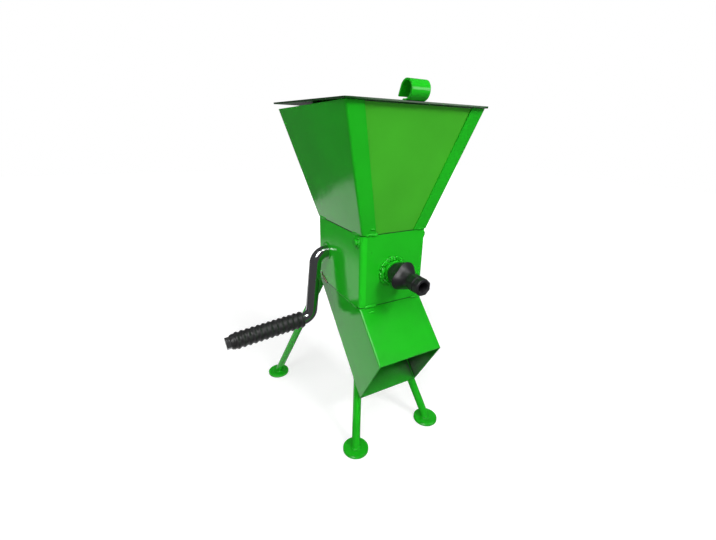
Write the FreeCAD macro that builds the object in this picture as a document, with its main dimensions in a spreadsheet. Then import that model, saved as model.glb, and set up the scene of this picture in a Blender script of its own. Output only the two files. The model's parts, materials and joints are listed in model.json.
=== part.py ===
"""Hand-cranked nut cracker of welded sheet steel, in millimetres.

+Z is up, +X is to the right and +Y to the back, seen from the front, where the outlet chute and the
adjuster knob are. The origin lies on the floor, midway under the square body.
"""
import FreeCAD, Part
import Sketcher
import math
import os

os.makedirs("parts", exist_ok=True)
doc = FreeCAD.newDocument("NutCracker")

# Driving dimensions: name, value in millimetres or degrees or its formula, meaning
SIZES = [
    ("body_lift", 214, "height of the body's lower edge above the floor"),
    ("body_width", 100, "outside, left to right"),
    ("body_depth", 130, "outside, front to back"),
    ("body_tall", 100, "lower edge to upper edge"),
    ("body_wall", 2, "sheet thickness"),
    ("body_corner", 4, "outside radius of the four upright corners"),
    ("hopper_tall", 147, "upper edge of the body to the rim"),
    ("rim_width", 185, "outside, left to right"),
    ("rim_depth", 205, "outside, over the folded flanges"),
    ("hopper_wall", 1.5, "sheet thickness"),
    ("hopper_corner", 2.5, "outside radius of the folds"),
    ("flange_width", 21, "fold of a side panel over the front and the back"),
    ("panel_drop", 0.5, "front and back panels stop this far below the rim"),
    ("chute_angle", 44, "slope of the chute, measured from upright"),
    ("chute_roof", 78.5, "length of the front plate along the slope"),
    ("chute_floor", 197, "length of the floor plate along the slope"),
    ("chute_wall", 2, "sheet thickness"),
    ("chute_corner", 2.2, "outside radius of the folds"),
    ("shaft_from_back", 28.5, "shaft axis to the body's back face"),
    ("shaft_back", "=body_depth / 2 - shaft_from_back",
     "shaft axis behind the middle of the body"),
    ("shaft_up", 51.5, "shaft axis above the body's lower edge"),
    ("rod_radius", 9, "crank bar"),
    ("bush_radius", 12, "outside of the shaft bushes"),
    ("bush_proud", 1, "bush outside the wall"),
    ("bush_inside", 1, "bush inside the wall"),
    ("running_gap", 0.05, "radial clearance of turning and sliding fits"),
    ("seat_gap", 0.3, "clearance between pieces that move past each other"),
    ("arm_gap", 0.5, "bush to the start of the upper bend"),
    ("arm_lean", 6.4, "crank arm outwards from upright"),
    ("crank_radius", 103.5, "shaft axis to the corner of the hand bar"),
    ("bend_top", 18, "centre-line radius of the upper bend"),
    ("bend_foot", 16, "centre-line radius of the lower bend"),
    ("hand_droop", 5.5, "hand bar below level"),
    ("grip_length", 110, "rubber sleeve"),
    ("grip_radius", 11.2, "sleeve between the ribs"),
    ("grip_rib", 1.7, "height of a rib"),
    ("grip_ribs", 13, "number of ribs"),
    ("grip_rib_width", 4.6, "a rib at its foot"),
    ("grip_stub", 6.5, "bar that shows past the sleeve"),
    ("roller_radius", 24, "over the teeth"),
    ("roller_side_gap", 4, "roller to each side wall"),
    ("roller_length", "=body_width - 2 * (body_wall + roller_side_gap)", "toothed roller"),
    ("tooth_depth", 3.5, "depth of a groove"),
    ("tooth_count", 18, "grooves round the roller"),
    ("roller_pin_radius", 3, "spring pin through roller and shaft"),
    ("spacer_radius", 12, "rings between the roller and the bushes"),
    ("collar_radius", 14, "stop collar outside the right bush"),
    ("collar_length", 10, "stop collar"),
    ("collar_screw_radius", 3, "grub screw of the stop collar"),
    ("shaft_tail", 3, "bar that shows past the stop collar"),
    ("pivot_from_front", 10, "jaw pivot axis to the body's front face"),
    ("pivot_front", "=body_depth / 2 - pivot_from_front",
     "jaw pivot axis in front of the middle of the body"),
    ("pivot_from_top", 10, "jaw pivot axis below the body's upper edge"),
    ("pivot_up", "=body_tall - pivot_from_top", "jaw pivot axis above the body's lower edge"),
    ("pivot_radius", 5, "jaw pivot pin"),
    ("pivot_proud", 5, "pin outside each wall"),
    ("barrel_wall", 2.5, "jaw barrel"),
    ("jaw_side_gap", 2, "jaw to each side wall"),
    ("jaw_thick", 6, "jaw plate"),
    ("jaw_reach", 100, "pivot axis to the lower end of the jaw plate"),
    ("jaw_ridges", 8, "grooves across the jaw plate"),
    ("jaw_pitch", 6, "groove to groove"),
    ("jaw_groove", 1.5, "depth of a groove"),
    ("crack_gap", 12, "jaw to roller, screwed right in"),
    ("screw_radius", 7, "adjuster screw"),
    ("screw_tip_radius", 5, "end of the screw inside the pad"),
    ("screw_tip", 5, "length of that end"),
    ("screw_hole_gap", 1, "screw to the hole in the front wall"),
    ("adjuster_up", 46.7, "screw axis above the body's lower edge"),
    ("pad_radius", 9, "swivel pad and its round nose"),
    ("pad_skirt", 6, "straight part of the swivel pad"),
    ("pad_gap", 0.6, "pad to the back of the jaw"),
    ("nut_radius", 15, "round nut on the front wall"),
    ("nut_length", 6, "round nut"),
    ("weld_width", 5, "bead round the nut"),
    ("knob_gap", 1, "nut to the knob, screwed right in"),
    ("knob_base_radius", 13.5, "knob at the nut"),
    ("knob_radius", 20.5, "knob at its widest"),
    ("knob_neck_radius", 9.6, "knob at its neck"),
    ("knob_cone", 18, "length of the widening part"),
    ("knob_band", 3.5, "length of the widest part"),
    ("knob_shoulder", 8, "length of the narrowing part"),
    ("knob_neck", 6, "length of the neck"),
    ("knob_end", 22, "length of the eight-sided end"),
    ("knob_end_radius", 10.2, "eight-sided end, to its flats"),
    ("knob_hollow_radius", 6.8, "hollow in the end"),
    ("knob_hollow", 14, "depth of the hollow"),
    ("knob_collar", 12, "length of the eight-sided end behind its groove"),
    ("knob_groove", 1.5, "width of the groove round the end"),
    ("knob_groove_depth", 1, "groove below the flats"),
    ("leg_radius", 6, "leg bars"),
    ("foot_radius", 18.5, "foot discs"),
    ("foot_thick", 4, "foot discs"),
    ("foot_bevel", 0.8, "bevel of a foot's upper edge"),
    ("front_foot_side", 64.5, "front feet to the left and right of the middle"),
    ("front_foot_ahead", 88.5, "front feet in front of the middle"),
    ("front_leg_in", 31.5, "a front bar leans this far inwards up to its drawn end"),
    ("front_leg_back", 52.92, "a front bar leans this far to the back up to its drawn end"),
    ("front_leg_reach", 126, "height to which a front bar is drawn before it is coped"),
    ("back_foot_side", 109, "back feet to the left and right of the middle"),
    ("back_foot_behind", 138.5, "back feet behind the middle"),
    ("back_leg_inset", 6.5, "axis of a back leg inside the body's side, at its lower edge"),
    ("back_leg_reach", 26, "height above the body's lower edge to which a back bar is drawn"),
    ("lid_thick", 2, "lid plate"),
    ("lid_width", 189, "lid plate"),
    ("lid_front", 4, "lid past the rim at the front"),
    ("lid_tail", 14, "lid behind the hinge axis"),
    ("hinge_rise", 3.2, "hinge axis above the rim"),
    ("knuckle_radius", 3.5, "hinge knuckle under the lid"),
    ("hinge_pin_radius", 2, "hinge pin"),
    ("knuckle_length", 30, "knuckle under the lid"),
    ("leaf_width", 25, "each fixed leaf"),
    ("leaf_drop", 18, "strap of a fixed leaf down the back panel"),
    ("leaf_thick", 1.5, "strap of a fixed leaf"),
    ("handle_radius", 10.2, "rolled lid handle, outside"),
    ("handle_thick", 1.8, "strip of the handle"),
    ("handle_width", 23.5, "strip of the handle"),
    ("handle_side", 13, "middle of the handle to the left of the lid's middle"),
    ("handle_back", 3, "middle of the handle's round part behind the lid's front edge"),
    ("handle_seat", 4, "flat start of the strip, welded on the lid"),
    ("handle_tail", 10, "straight end of the strip"),
    ("handle_tail_turn", 21, "angle at which the strip leaves its round part"),
]

dims = doc.addObject("Spreadsheet::Sheet", "Dims")
for row, (name, size, meaning) in enumerate(SIZES, start=1):
    dims.set(f"A{row}", name)
    dims.set(f"B{row}", str(size))
    dims.set(f"C{row}", meaning)
    dims.setAlias(f"B{row}", name)
doc.recompute()

# Lengths that several pieces share
HALF_WIDTH = "Dims.body_width / 2"
HALF_DEPTH = "Dims.body_depth / 2"
INNER_WIDTH = "(Dims.body_width / 2 - Dims.body_wall)"
RIM_UP = "(Dims.body_lift + Dims.body_tall + Dims.hopper_tall)"
SLOPE_ACROSS = "sin(Dims.chute_angle)"
SLOPE_DOWN = "cos(Dims.chute_angle)"
BUSH_FACE = "(Dims.body_width / 2 + Dims.bush_proud)"
BUSH_BACK = "(Dims.body_width / 2 - Dims.body_wall - Dims.bush_inside)"
ARM_TOP = f"({BUSH_FACE} + Dims.arm_gap + Dims.bend_top * tan((90 - Dims.arm_lean) / 2))"
ARM_FOOT = f"({ARM_TOP} + Dims.crank_radius * tan(Dims.arm_lean))"
HAND_BEND = "(Dims.bend_foot * tan((90 - Dims.arm_lean - Dims.hand_droop) / 2) + Dims.arm_gap)"
HAND_LENGTH = f"({HAND_BEND} + Dims.grip_length + Dims.grip_stub)"
HAND_OUT = f"({ARM_FOOT} + {HAND_LENGTH} * cos(Dims.hand_droop))"
HAND_DOWN = f"(Dims.crank_radius + {HAND_LENGTH} * sin(Dims.hand_droop))"
SHAFT_END = f"({BUSH_FACE} + Dims.seat_gap + Dims.collar_length + Dims.shaft_tail)"
BARREL_RADIUS = "(Dims.pivot_radius + Dims.barrel_wall)"
PIVOT_TO_SHAFT = "(Dims.pivot_front + Dims.shaft_back)"
PIVOT_OVER_SHAFT = "(Dims.pivot_up - Dims.shaft_up)"
JAW_TO_SHAFT = "(Dims.roller_radius + Dims.crack_gap + Dims.jaw_thick / 2)"
JAW_LEAN = (f"(acos({JAW_TO_SHAFT} / sqrt({PIVOT_TO_SHAFT} ^ 2 + {PIVOT_OVER_SHAFT} ^ 2))"
            f" - atan({PIVOT_OVER_SHAFT} / {PIVOT_TO_SHAFT}))")
PAD_OFF_JAW = "(Dims.jaw_thick / 2 + Dims.pad_radius + Dims.pad_gap)"
PAD_AT = (f"(((Dims.pivot_up - Dims.adjuster_up) * sin({JAW_LEAN}) - {PAD_OFF_JAW})"
          f" / cos({JAW_LEAN}) - Dims.pivot_front)")
SCREW_SHOULDER = f"({PAD_AT} - Dims.pad_skirt - Dims.seat_gap)"
KNOB_BASE = f"({HALF_DEPTH} + Dims.nut_length + Dims.knob_gap)"
PANEL_LEAN = "((Dims.rim_depth / 2 - Dims.hopper_wall - Dims.body_depth / 2) / Dims.hopper_tall)"
LEAF_RADIUS = "(Dims.knuckle_radius - Dims.seat_gap)"
HINGE_BACK = (f"(Dims.rim_depth / 2 - Dims.hopper_wall + {PANEL_LEAN} * Dims.hinge_rise"
              f" + {LEAF_RADIUS} * sqrt(1 + {PANEL_LEAN} ^ 2))")
HINGE_UP = f"({RIM_UP} + Dims.hinge_rise)"
RIM_REACH = f"({HINGE_BACK} + Dims.rim_depth / 2)"
RIM_DROP = "(Dims.hinge_rise - Dims.seat_gap)"
LID_TILT = (f"(atan({RIM_DROP} / {RIM_REACH})"
            f" + asin(Dims.knuckle_radius / sqrt({RIM_REACH} ^ 2 + {RIM_DROP} ^ 2)))")
LID_REACH = f"({RIM_REACH} + Dims.lid_front)"
LID_TOP = "(Dims.knuckle_radius + Dims.lid_thick)"


def value(text):
    """Number that an expression stands for."""
    found = dims.evalExpression(text)
    return float(getattr(found, "Value", found))


def place(item, x="0", y="0", z="0", axis="0; 0; 1", angle="0"):
    """Bind an object's Placement to expressions."""
    item.setExpression(
        "Placement", f"placement(vector({x}; {y}; {z}); rotation(vector({axis}); {angle}))")


def new_body(label, **at):
    """Empty body with its label and placement; by default it stands at the body's lower edge."""
    owner = doc.addObject("PartDesign::Body", label)
    owner.Label = label
    at.setdefault("z", "Dims.body_lift")
    place(owner, **at)
    return owner


def new_sketch(owner, plane, offset=None):
    """Sketch on one of the body's own origin planes, moved along the plane's normal."""
    item = owner.newObject("Sketcher::SketchObject", "Sketch")
    support = [f for f in owner.Origin.OriginFeatures if f.Role == plane][0]
    item.AttachmentSupport = [(support, "")]
    item.MapMode = "FlatFace"
    if offset is not None:
        item.setExpression("AttachmentOffset.Base.z", offset)
    return item


def hold(item, kind, expression, *ends):
    """Driving dimension of a sketch, bound to an expression."""
    number = item.addConstraint(Sketcher.Constraint(kind, *ends, value(expression)))
    item.setExpression(f"Constraints[{number}]", expression)


def pin_point(item, geometry, end, x, y):
    """Fix a point of a sketch at two expressions, measured from the sketch's origin."""
    hold(item, "DistanceX", x, -1, 1, geometry, end)
    hold(item, "DistanceY", y, -1, 1, geometry, end)


def outline(item, corners):
    """Closed outline with straight sides through corners given as pairs of expressions."""
    spots = [FreeCAD.Vector(value(x), value(y), 0) for x, y in corners]
    first = item.GeometryCount
    count = len(corners)
    for i in range(count):
        item.addGeometry(Part.LineSegment(spots[i], spots[(i + 1) % count]), False)
    for i in range(count):
        item.addConstraint(
            Sketcher.Constraint("Coincident", first + i, 2, first + (i + 1) % count, 1))
    for i, (x, y) in enumerate(corners):
        pin_point(item, first + i, 1, x, y)


def circle(item, x, y, radius):
    """Circle with its centre and radius given as expressions."""
    centre = FreeCAD.Vector(value(x), value(y), 0)
    shape = Part.Circle(centre, FreeCAD.Vector(0, 0, 1), value(radius))
    number = item.addGeometry(shape, False)
    hold(item, "Radius", radius, number)
    pin_point(item, number, 3, x, y)


def pad(owner, profile, length, midplane=False, reverse=False):
    """Add the profile's extrusion."""
    item = owner.newObject("PartDesign::Pad", "Pad")
    item.Profile = profile
    item.Midplane = midplane
    item.Reversed = reverse
    item.setExpression("Length", length)
    doc.recompute()
    return item


def pocket(owner, profile, length, midplane=False, reverse=False):
    """Cut the profile's extrusion."""
    item = owner.newObject("PartDesign::Pocket", "Pocket")
    item.Profile = profile
    item.Midplane = midplane
    item.Reversed = reverse
    item.setExpression("Length", length)
    doc.recompute()
    return item


def turn(owner, profile, axis, kind="Revolution"):
    """Revolve the profile about the sketch's H_Axis or V_Axis; the kind Groove cuts it."""
    item = owner.newObject(f"PartDesign::{kind}", kind)
    item.Profile = profile
    item.ReferenceAxis = (profile, [axis])
    item.Angle = 360
    doc.recompute()
    return item


def dress_edges(kind, owner, base, size, wanted):
    """Fillet or chamfer the edges whose middle point passes the test."""
    names = []
    for number, edge in enumerate(base.Shape.Edges, start=1):
        middle = edge.valueAt((edge.FirstParameter + edge.LastParameter) / 2)
        if wanted(edge, middle):
            names.append(f"Edge{number}")
    item = owner.newObject(f"PartDesign::{kind}", kind)
    item.Base = (base, names)
    item.setExpression("Radius" if kind == "Fillet" else "Size", size)
    doc.recompute()
    return item


def round_edges(owner, base, radius, wanted):
    """Round the chosen edges."""
    return dress_edges("Fillet", owner, base, radius, wanted)


def bevel_edges(owner, base, size, wanted):
    """Bevel the chosen edges at 45 degrees."""
    return dress_edges("Chamfer", owner, base, size, wanted)


def is_long(edge, axis):
    """True if a straight edge runs mostly along the axis, X, Y or Z as 0, 1 or 2."""
    run = edge.Vertexes[0].Point - edge.Vertexes[-1].Point
    return abs(run[axis]) > 0.6 * run.Length > 0


# Body: folded square tube with the holes for shaft, pivot pin and screw
def make_body_shell():
    owner = new_body("body_shell")
    section = new_sketch(owner, "XY_Plane")
    for inset in ("0", "Dims.body_wall"):
        x = f"(Dims.body_width / 2 - {inset})"
        y = f"(Dims.body_depth / 2 - {inset})"
        outline(section, [(f"-{x}", f"-{y}"), (x, f"-{y}"), (x, y), (f"-{x}", y)])
    tube = pad(owner, section, "Dims.body_tall")
    limit = value(INNER_WIDTH)
    tube = round_edges(owner, tube, "Dims.body_corner",
                       lambda edge, at: is_long(edge, 2) and abs(at.x) > limit + 0.1)
    round_edges(owner, tube, "Dims.body_corner - Dims.body_wall",
                lambda edge, at: is_long(edge, 2) and abs(abs(at.x) - limit) < 0.1
                and abs(abs(at.y) - value("Dims.body_depth / 2 - Dims.body_wall")) < 0.1)
    sides = new_sketch(owner, "YZ_Plane")
    circle(sides, "Dims.shaft_back", "Dims.shaft_up", "Dims.bush_radius")
    circle(sides, "-Dims.pivot_front", "Dims.pivot_up", "Dims.pivot_radius")
    pocket(owner, sides, "Dims.body_width * 2", midplane=True)
    front = new_sketch(owner, "XZ_Plane")
    circle(front, "0", "Dims.adjuster_up", "Dims.screw_radius + Dims.screw_hole_gap")
    pocket(owner, front, "Dims.body_depth", reverse=True)
    return owner


# Hopper: two flared side panels with folded flanges, and a front and a back panel between them
HOPPER_LOW = "Dims.body_tall"
HOPPER_HIGH = "(Dims.body_tall + Dims.hopper_tall)"
PANEL_INSIDE = "(Dims.body_width / 2 - Dims.hopper_wall)"
RIM_INSIDE = "(Dims.rim_width / 2 - Dims.hopper_wall)"
RIM_FOLD = "(Dims.rim_depth / 2 - Dims.hopper_wall)"


def cut_outside(owner, plane, low, high, length):
    """Cut away what lies outside two mirrored slopes, from low at the body to high at the rim."""
    slopes = new_sketch(owner, plane)
    for end in (-1, 1):
        outline(slopes, [(f"{end} * {low}", HOPPER_LOW), (f"{end} * {high}", HOPPER_HIGH),
                         (f"{end} * 3 * {high}", HOPPER_HIGH),
                         (f"{end} * 3 * {high}", HOPPER_LOW)])
    return pocket(owner, slopes, length, midplane=True)


def make_side_panel(label, side):
    owner = new_body(label)
    face = new_sketch(owner, "XZ_Plane")
    outline(face, [(f"{side} * Dims.body_width / 2", HOPPER_LOW),
                   (f"{side} * Dims.rim_width / 2", HOPPER_HIGH),
                   (f"{side} * (Dims.rim_width / 2 - Dims.flange_width)", HOPPER_HIGH),
                   (f"{side} * (Dims.body_width / 2 - Dims.flange_width)", HOPPER_LOW)])
    pad(owner, face, "2 * Dims.rim_depth", midplane=True)
    block = cut_outside(owner, "YZ_Plane", f"({HALF_DEPTH} + Dims.hopper_wall)",
                        "(Dims.rim_depth / 2)", "2 * Dims.rim_width")
    outer = value("(Dims.body_width + Dims.rim_width) / 4")
    round_edges(owner, block, "Dims.hopper_corner",
                lambda edge, at: is_long(edge, 2) and abs(abs(at.x) - outer) < 0.1)
    hollow = owner.newObject("PartDesign::SubtractiveLoft", "Hollow")
    sections = []
    for half_x, half_y, up in ((PANEL_INSIDE, f"({HALF_DEPTH})", HOPPER_LOW),
                               (RIM_INSIDE, RIM_FOLD, HOPPER_HIGH)):
        section = new_sketch(owner, "XY_Plane", up)
        outline(section, [(f"-{half_x}", f"-{half_y}"), (half_x, f"-{half_y}"),
                          (half_x, half_y), (f"-{half_x}", half_y)])
        sections.append(section)
    hollow.Profile = sections[0]
    hollow.Sections = sections[1:]
    hollow.Ruled = True
    owner.Tip = hollow
    doc.recompute()
    return owner


def make_end_panel(label, side):
    owner = new_body(label)
    top = f"({HOPPER_HIGH} - Dims.panel_drop)"
    face = f"({RIM_FOLD} - {PANEL_LEAN} * Dims.panel_drop)"
    sheet = new_sketch(owner, "YZ_Plane")
    outline(sheet, [(f"{side} * {HALF_DEPTH}", HOPPER_LOW), (f"{side} * {face}", top),
                    (f"{side} * ({face} - Dims.hopper_wall)", top),
                    (f"{side} * ({HALF_DEPTH} - Dims.hopper_wall)", HOPPER_LOW)])
    pad(owner, sheet, "Dims.rim_width", midplane=True)
    cut_outside(owner, "XZ_Plane", PANEL_INSIDE, RIM_INSIDE, "2 * Dims.rim_depth")
    return owner


# Chute: slanted duct whose mouth is cut steeper than square
def slope_point(start, length):
    """Point down the slope of the chute, as a pair of expressions."""
    return (f"({start} - {SLOPE_ACROSS} * ({length}))", f"(-{SLOPE_DOWN} * ({length}))")


def chute_corners(inset, extra):
    """Side view of the chute; inset moves the plates in, extra carries them past the mouth."""
    front = f"(-{HALF_DEPTH} + {inset} / {SLOPE_DOWN})"
    back = f"({HALF_DEPTH} - {inset} / {SLOPE_DOWN})"
    return [(front, "0"), (back, "0"), slope_point(back, f"Dims.chute_floor + {extra}"),
            slope_point(front, f"Dims.chute_roof + {extra}")]


def make_chute_block(label):
    owner = new_body(label)
    side = new_sketch(owner, "YZ_Plane")
    outline(side, chute_corners("0", "0"))
    block = pad(owner, side, "Dims.body_width", midplane=True)
    near = value(HALF_WIDTH) - 0.1
    round_edges(owner, block, "Dims.chute_corner",
                lambda edge, at: abs(at.x) > near and is_long(edge, 2)
                and abs(at.y) < value(HALF_DEPTH) + 60 and slope_edge(edge))
    return owner


def slope_edge(edge):
    """True if a straight edge runs down the slope of the chute."""
    run = edge.Vertexes[0].Point - edge.Vertexes[-1].Point
    lean = abs(run.y) / max(abs(run.z), 1e-6)
    return abs(lean - value(f"{SLOPE_ACROSS} / {SLOPE_DOWN}")) < 0.01


def make_chute_shell():
    owner = make_chute_block("chute_shell")
    hollow = new_sketch(owner, "YZ_Plane")
    outline(hollow, chute_corners("Dims.chute_wall", "Dims.body_depth"))
    pocket(owner, hollow, "Dims.body_width - 2 * Dims.chute_wall", midplane=True)
    return owner


# Bushes, pivot pin, welded nut and its bead
def make_ring(label, outer, inner, start, length, **at):
    """Ring along +X, from start over length."""
    owner = new_body(label, **at)
    profile = new_sketch(owner, "YZ_Plane", start)
    circle(profile, "0", "0", outer)
    circle(profile, "0", "0", inner)
    pad(owner, profile, length)
    return owner


SHAFT_AT = {"y": "Dims.shaft_back", "z": "Dims.body_lift + Dims.shaft_up"}
PIVOT_AT = {"y": "-Dims.pivot_front", "z": "Dims.body_lift + Dims.pivot_up"}
ADJUSTER_AT = {"z": "Dims.body_lift + Dims.adjuster_up"}
BORE = "Dims.rod_radius + Dims.running_gap"
BUSH_LENGTH = "Dims.bush_proud + Dims.body_wall + Dims.bush_inside"


def make_bushes():
    return [make_ring("left_shaft_bush", "Dims.bush_radius", BORE, f"-{BUSH_FACE}", BUSH_LENGTH,
                      **SHAFT_AT),
            make_ring("right_shaft_bush", "Dims.bush_radius", BORE, BUSH_BACK, BUSH_LENGTH,
                      **SHAFT_AT)]


def make_pivot_pin():
    owner = new_body("jaw_pivot_pin", **PIVOT_AT)
    profile = new_sketch(owner, "YZ_Plane")
    circle(profile, "0", "0", "Dims.pivot_radius")
    bar = pad(owner, profile, "Dims.body_width + 2 * Dims.pivot_proud", midplane=True)
    bevel_edges(owner, bar, "Dims.pivot_radius / 5", lambda edge, at: edge.Closed)
    return owner


def make_adjuster_nut():
    owner = new_body("adjuster_nut", **ADJUSTER_AT)
    front = f"-({HALF_DEPTH} + Dims.nut_length)"
    profile = new_sketch(owner, "XY_Plane")
    inner = "Dims.screw_radius + Dims.running_gap"
    outline(profile, [(inner, f"-{HALF_DEPTH}"), ("Dims.nut_radius", f"-{HALF_DEPTH}"),
                      ("Dims.nut_radius", front), (inner, front)])
    turn(owner, profile, "V_Axis")
    return owner


def make_adjuster_weld():
    owner = new_body("adjuster_weld", **ADJUSTER_AT)
    wide = "(Dims.nut_radius + Dims.weld_width)"
    profile = new_sketch(owner, "XY_Plane")
    outline(profile, [("Dims.nut_radius", f"-{HALF_DEPTH}"), (wide, f"-{HALF_DEPTH}"),
                      (f"{wide} - Dims.weld_width / 6", f"-{HALF_DEPTH} - Dims.weld_width / 3"),
                      (f"{wide} - Dims.weld_width / 2",
                       f"-{HALF_DEPTH} - 2 * Dims.weld_width / 3"),
                      ("Dims.nut_radius", f"-{HALF_DEPTH} - 0.8 * Dims.weld_width")])
    turn(owner, profile, "V_Axis")
    return owner


# Legs: round bars, flat on their feet and coped where they meet the body and the chute
def aim(item, x, y, z, run_x, run_y, run_z):
    """Stand a cylinder at a point, its axis along a direction; all are expressions."""
    across = f"sqrt(({run_x}) ^ 2 + ({run_y}) ^ 2)"
    place(item, x, y, z, axis=f"-({run_y}); {run_x}; 0", angle=f"atan({across} / ({run_z}))")


def make_stops():
    """Solids that the leg bars are coped against: the body, the chute and the feet."""
    body = doc.addObject("Part::Box", "body_stop")
    body.setExpression("Length", "Dims.body_width")
    body.setExpression("Width", "Dims.body_depth")
    body.setExpression("Height", "Dims.body_tall")
    place(body, f"-{HALF_WIDTH}", f"-{HALF_DEPTH}", "Dims.body_lift")
    floor = doc.addObject("Part::Box", "foot_stop")
    floor.setExpression("Length", "4 * Dims.back_foot_side")
    floor.setExpression("Width", "4 * Dims.back_foot_behind")
    floor.setExpression("Height", "Dims.foot_thick + Dims.foot_radius")
    place(floor, "-2 * Dims.back_foot_side", "-2 * Dims.back_foot_behind", "-Dims.foot_radius")
    stops = doc.addObject("Part::MultiFuse", "leg_stops")
    stops.Shapes = [body, floor, make_chute_block("chute_stop")]
    doc.recompute()
    return stops


def make_leg(label, stops, foot_x, foot_y, run_x, run_y, run_z, reach):
    """Bar from below its foot, coped against the stops."""
    bar = doc.addObject("Part::Cylinder", f"{label}_bar")
    bar.setExpression("Radius", "Dims.leg_radius")
    length = f"sqrt(({run_x}) ^ 2 + ({run_y}) ^ 2 + ({run_z}) ^ 2)"
    under = "Dims.leg_radius"
    bar.setExpression("Height", f"({reach} + {under}) / ({run_z}) * {length}")
    aim(bar, f"{foot_x} - {under} * ({run_x}) / ({run_z})",
        f"{foot_y} - {under} * ({run_y}) / ({run_z})", f"Dims.foot_thick - {under}",
        run_x, run_y, run_z)
    leg = doc.addObject("Part::Cut", label)
    leg.Label = label
    leg.Base = bar
    leg.Tool = stops
    doc.recompute()
    return leg


def make_legs():
    stops = make_stops()
    legs = []
    for name, side in (("left", -1), ("right", 1)):
        foot_x = f"{side} * Dims.front_foot_side"
        legs.append(make_leg(f"front_{name}_leg", stops, foot_x, "-Dims.front_foot_ahead",
                             f"{-side} * Dims.front_leg_in", "Dims.front_leg_back",
                             "Dims.front_leg_reach", "Dims.front_leg_reach"))
    for name, side in (("left", -1), ("right", 1)):
        foot_x = f"{side} * Dims.back_foot_side"
        top_x = f"{side} * ({HALF_WIDTH} - Dims.back_leg_inset)"
        legs.append(make_leg(f"back_{name}_leg", stops, foot_x, "Dims.back_foot_behind",
                             f"{top_x} - ({foot_x})", f"{HALF_DEPTH} - Dims.back_foot_behind",
                             "Dims.body_lift - Dims.foot_thick",
                             "Dims.body_lift - Dims.foot_thick + Dims.back_leg_reach"))
    return legs


def make_foot(label, x, y):
    owner = new_body(label, x=x, y=y, z="0")
    profile = new_sketch(owner, "XY_Plane")
    circle(profile, "0", "0", "Dims.foot_radius")
    disc = pad(owner, profile, "Dims.foot_thick")
    bevel_edges(owner, disc, "Dims.foot_bevel",
                lambda edge, at: edge.Closed and at.z > value("Dims.foot_thick") - 0.1)
    return owner


def make_feet():
    feet = []
    for name, side in (("left", -1), ("right", 1)):
        feet.append(make_foot(f"front_{name}_foot", f"{side} * Dims.front_foot_side",
                              "-Dims.front_foot_ahead"))
        feet.append(make_foot(f"back_{name}_foot", f"{side} * Dims.back_foot_side",
                              "Dims.back_foot_behind"))
    return feet


# Crank: one bar bent twice; its straight end is the shaft
def join_smoothly(item, first, second):
    """Tangent joint between two pieces of a path, at the ends that meet."""
    pairs = [(a, b) for a in (1, 2) for b in (1, 2)]
    ends = min(pairs, key=lambda pair: item.getPoint(first, pair[0]).distanceToPoint(
        item.getPoint(second, pair[1])))
    item.addConstraint(Sketcher.Constraint("Tangent", first, ends[0], second, ends[1]))


def make_crank_rod():
    owner = new_body("crank_rod", **SHAFT_AT)
    corners = [(SHAFT_END, "0"), (f"-{ARM_TOP}", "0"), (f"-{ARM_FOOT}", "-Dims.crank_radius"),
               (f"-{HAND_OUT}", f"-{HAND_DOWN}")]
    spots = [FreeCAD.Vector(value(x), value(y), 0) for x, y in corners]
    runs = [(end - start).normalize() for start, end in zip(spots, spots[1:])]
    arcs = []
    for i, bend in ((1, "Dims.bend_top"), (2, "Dims.bend_foot")):
        half = runs[i - 1].getAngle(runs[i]) / 2
        inward = (runs[i] - runs[i - 1]).normalize()
        cut = value(bend) * math.tan(half)
        middle = spots[i] + inward * (value(bend) / math.cos(half) - value(bend))
        arcs.append((spots[i] - runs[i - 1] * cut, middle, spots[i] + runs[i] * cut))
    path = new_sketch(owner, "XZ_Plane")
    for piece in (Part.LineSegment(spots[0], arcs[0][0]), Part.Arc(*arcs[0]),
                  Part.LineSegment(arcs[0][2], arcs[1][0]), Part.Arc(*arcs[1]),
                  Part.LineSegment(arcs[1][2], spots[3])):
        path.addGeometry(piece, False)
    for corner in spots[1:3]:
        path.addGeometry(Part.Point(corner), True)
    for first in range(4):
        join_smoothly(path, first, first + 1)
    pin_point(path, 0, 1, *corners[0])
    path.addConstraint(Sketcher.Constraint("Horizontal", 0))
    hold(path, "Radius", "Dims.bend_top", 1)
    hold(path, "Radius", "Dims.bend_foot", 3)
    pin_point(path, 5, 1, *corners[1])
    pin_point(path, 6, 1, *corners[2])
    for point, line in ((5, 2), (6, 2), (6, 4)):
        path.addConstraint(Sketcher.Constraint("PointOnObject", point, 1, line))
    pin_point(path, 4, 2, *corners[3])
    section = new_sketch(owner, "YZ_Plane", SHAFT_END)
    circle(section, "0", "0", "Dims.rod_radius")
    bar = owner.newObject("PartDesign::AdditivePipe", "Pipe")
    bar.Profile = section
    bar.Spine = (path, [f"Edge{i}" for i in range(1, 6)])
    doc.recompute()
    across = new_sketch(owner, "XY_Plane")
    circle(across, "0", "0", "Dims.roller_pin_radius")
    pocket(owner, across, "4 * Dims.rod_radius", midplane=True)
    return owner


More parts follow.
